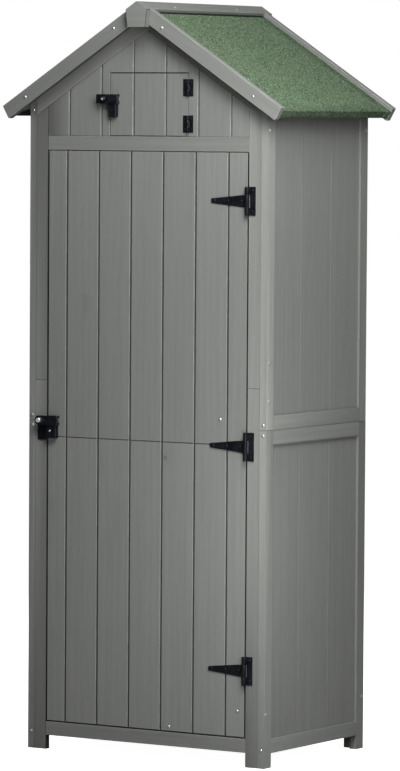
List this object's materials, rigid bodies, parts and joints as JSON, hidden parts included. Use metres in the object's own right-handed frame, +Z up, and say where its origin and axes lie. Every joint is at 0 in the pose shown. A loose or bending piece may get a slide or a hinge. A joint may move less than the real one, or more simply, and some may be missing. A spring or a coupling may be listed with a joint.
{
  "type": "garden storage cabinet",
  "caption": "Tall narrow timber tool cabinet with a felted pitched roof, boarded door on T-hinges, gable hatch and inner shelves.",
  "frame": {"origin": "on the ground in the middle of the footprint, under the ridge", "axes": "+Z up, +X to the right seen from the front, the door faces -Y"},
  "size_m": [0.782, 0.56, 1.79],
  "materials": {
    "stained_boards": "matt grey water-based stain over knotty softwood",
    "stained_frame": "matt grey water-based stain over planed softwood",
    "shelf_timber": "matt grey stain, plain sawn softwood",
    "roof_timber": "softwood boards, thinly stained",
    "mineral_felt": "bitumen felt with green mineral grit",
    "black_iron": "satin black powder coat on pressed steel",
    "zinc_steel": "bright zinc plate"
  },
  "bodies": {
    "cabinet": {"attic_floor": "shelf_timber", "back_gable_boards": "stained_boards", "back_lower_boards": "stained_boards", "back_lower_frame": "stained_frame", "back_upper_boards": "stained_boards", "back_upper_frame": "stained_frame", "door_hinge_pins": "zinc_steel", "door_hinge_plates": "black_iron", "door_stops": "stained_frame", "floor_bearers": "shelf_timber", "floor_boards": "shelf_timber", "frame_screws": "zinc_steel", "front_apex_plate": "stained_frame", "front_bottom_rail": "stained_frame", "front_gable_boards": "stained_boards", "front_header_rail": "stained_frame", "front_left_bargeboard": "stained_frame", "front_lower_stiles": "stained_frame", "front_right_bargeboard": "stained_frame", "front_slope_rails": "stained_frame", "front_upper_stiles": "stained_frame", "hatch_frame_leaves": "black_iron", "hatch_hinge_pins": "zinc_steel", "left_ridge_board": "stained_frame", "left_roof_deck": "roof_timber", "left_side_lower_boards": "stained_boards", "left_side_lower_frame": "stained_frame", "left_side_upper_boards": "stained_boards", "left_side_upper_frame": "stained_frame", "lower_shelf": "shelf_timber", "middle_shelf": "shelf_timber", "rear_apex_plate": "stained_frame", "rear_left_bargeboard": "stained_frame", "rear_right_bargeboard": "stained_frame", "right_ridge_board": "stained_frame", "right_roof_deck": "roof_timber", "right_side_lower_boards": "stained_boards", "right_side_lower_frame": "stained_frame", "right_side_upper_boards": "stained_boards", "right_side_upper_frame": "stained_frame", "roof_battens": "stained_frame", "roof_felt": "mineral_felt", "shelf_battens": "shelf_timber", "staple_plates": "black_iron", "staple_posts": "zinc_steel"},
    "door": {"door_lower_boards": "stained_boards", "door_upper_boards": "stained_boards", "door_battens": "stained_frame", "door_hinge_straps": "black_iron", "door_hasp_base": "black_iron", "door_hasp_pin": "zinc_steel"},
    "door_hasp": {"door_hasp_bar": "black_iron"},
    "hatch": {"hatch_boards": "stained_boards", "hatch_battens": "stained_frame", "hatch_hinge_leaves": "black_iron", "hatch_hasp_base": "black_iron", "hatch_hasp_pin": "zinc_steel"},
    "hatch_hasp": {"hatch_hasp_bar": "black_iron"}
  },
  "joints": [
    {"name": "door_swing", "type": "hinge", "parent": "cabinet", "child": "door", "pos_m": [0.28075, -0.2339, 0.752], "axis": [0, 0, 1], "range_deg": [0, 170]},
    {"name": "door_hasp_turn", "type": "hinge", "parent": "door", "child": "door_hasp", "pos_m": [-0.2465, -0.2395, 0.793], "axis": [0, 0, 1], "range_deg": [0, 160]},
    {"name": "hatch_swing", "type": "hinge", "parent": "cabinet", "child": "hatch", "pos_m": [0.11395, -0.2314, 1.5455], "axis": [0, 0, 1], "range_deg": [0, 140]},
    {"name": "hatch_hasp_turn", "type": "hinge", "parent": "hatch", "child": "hatch_hasp", "pos_m": [-0.0793, -0.2395, 1.561], "axis": [0, 0, 1], "range_deg": [0, 160]}
  ]
}
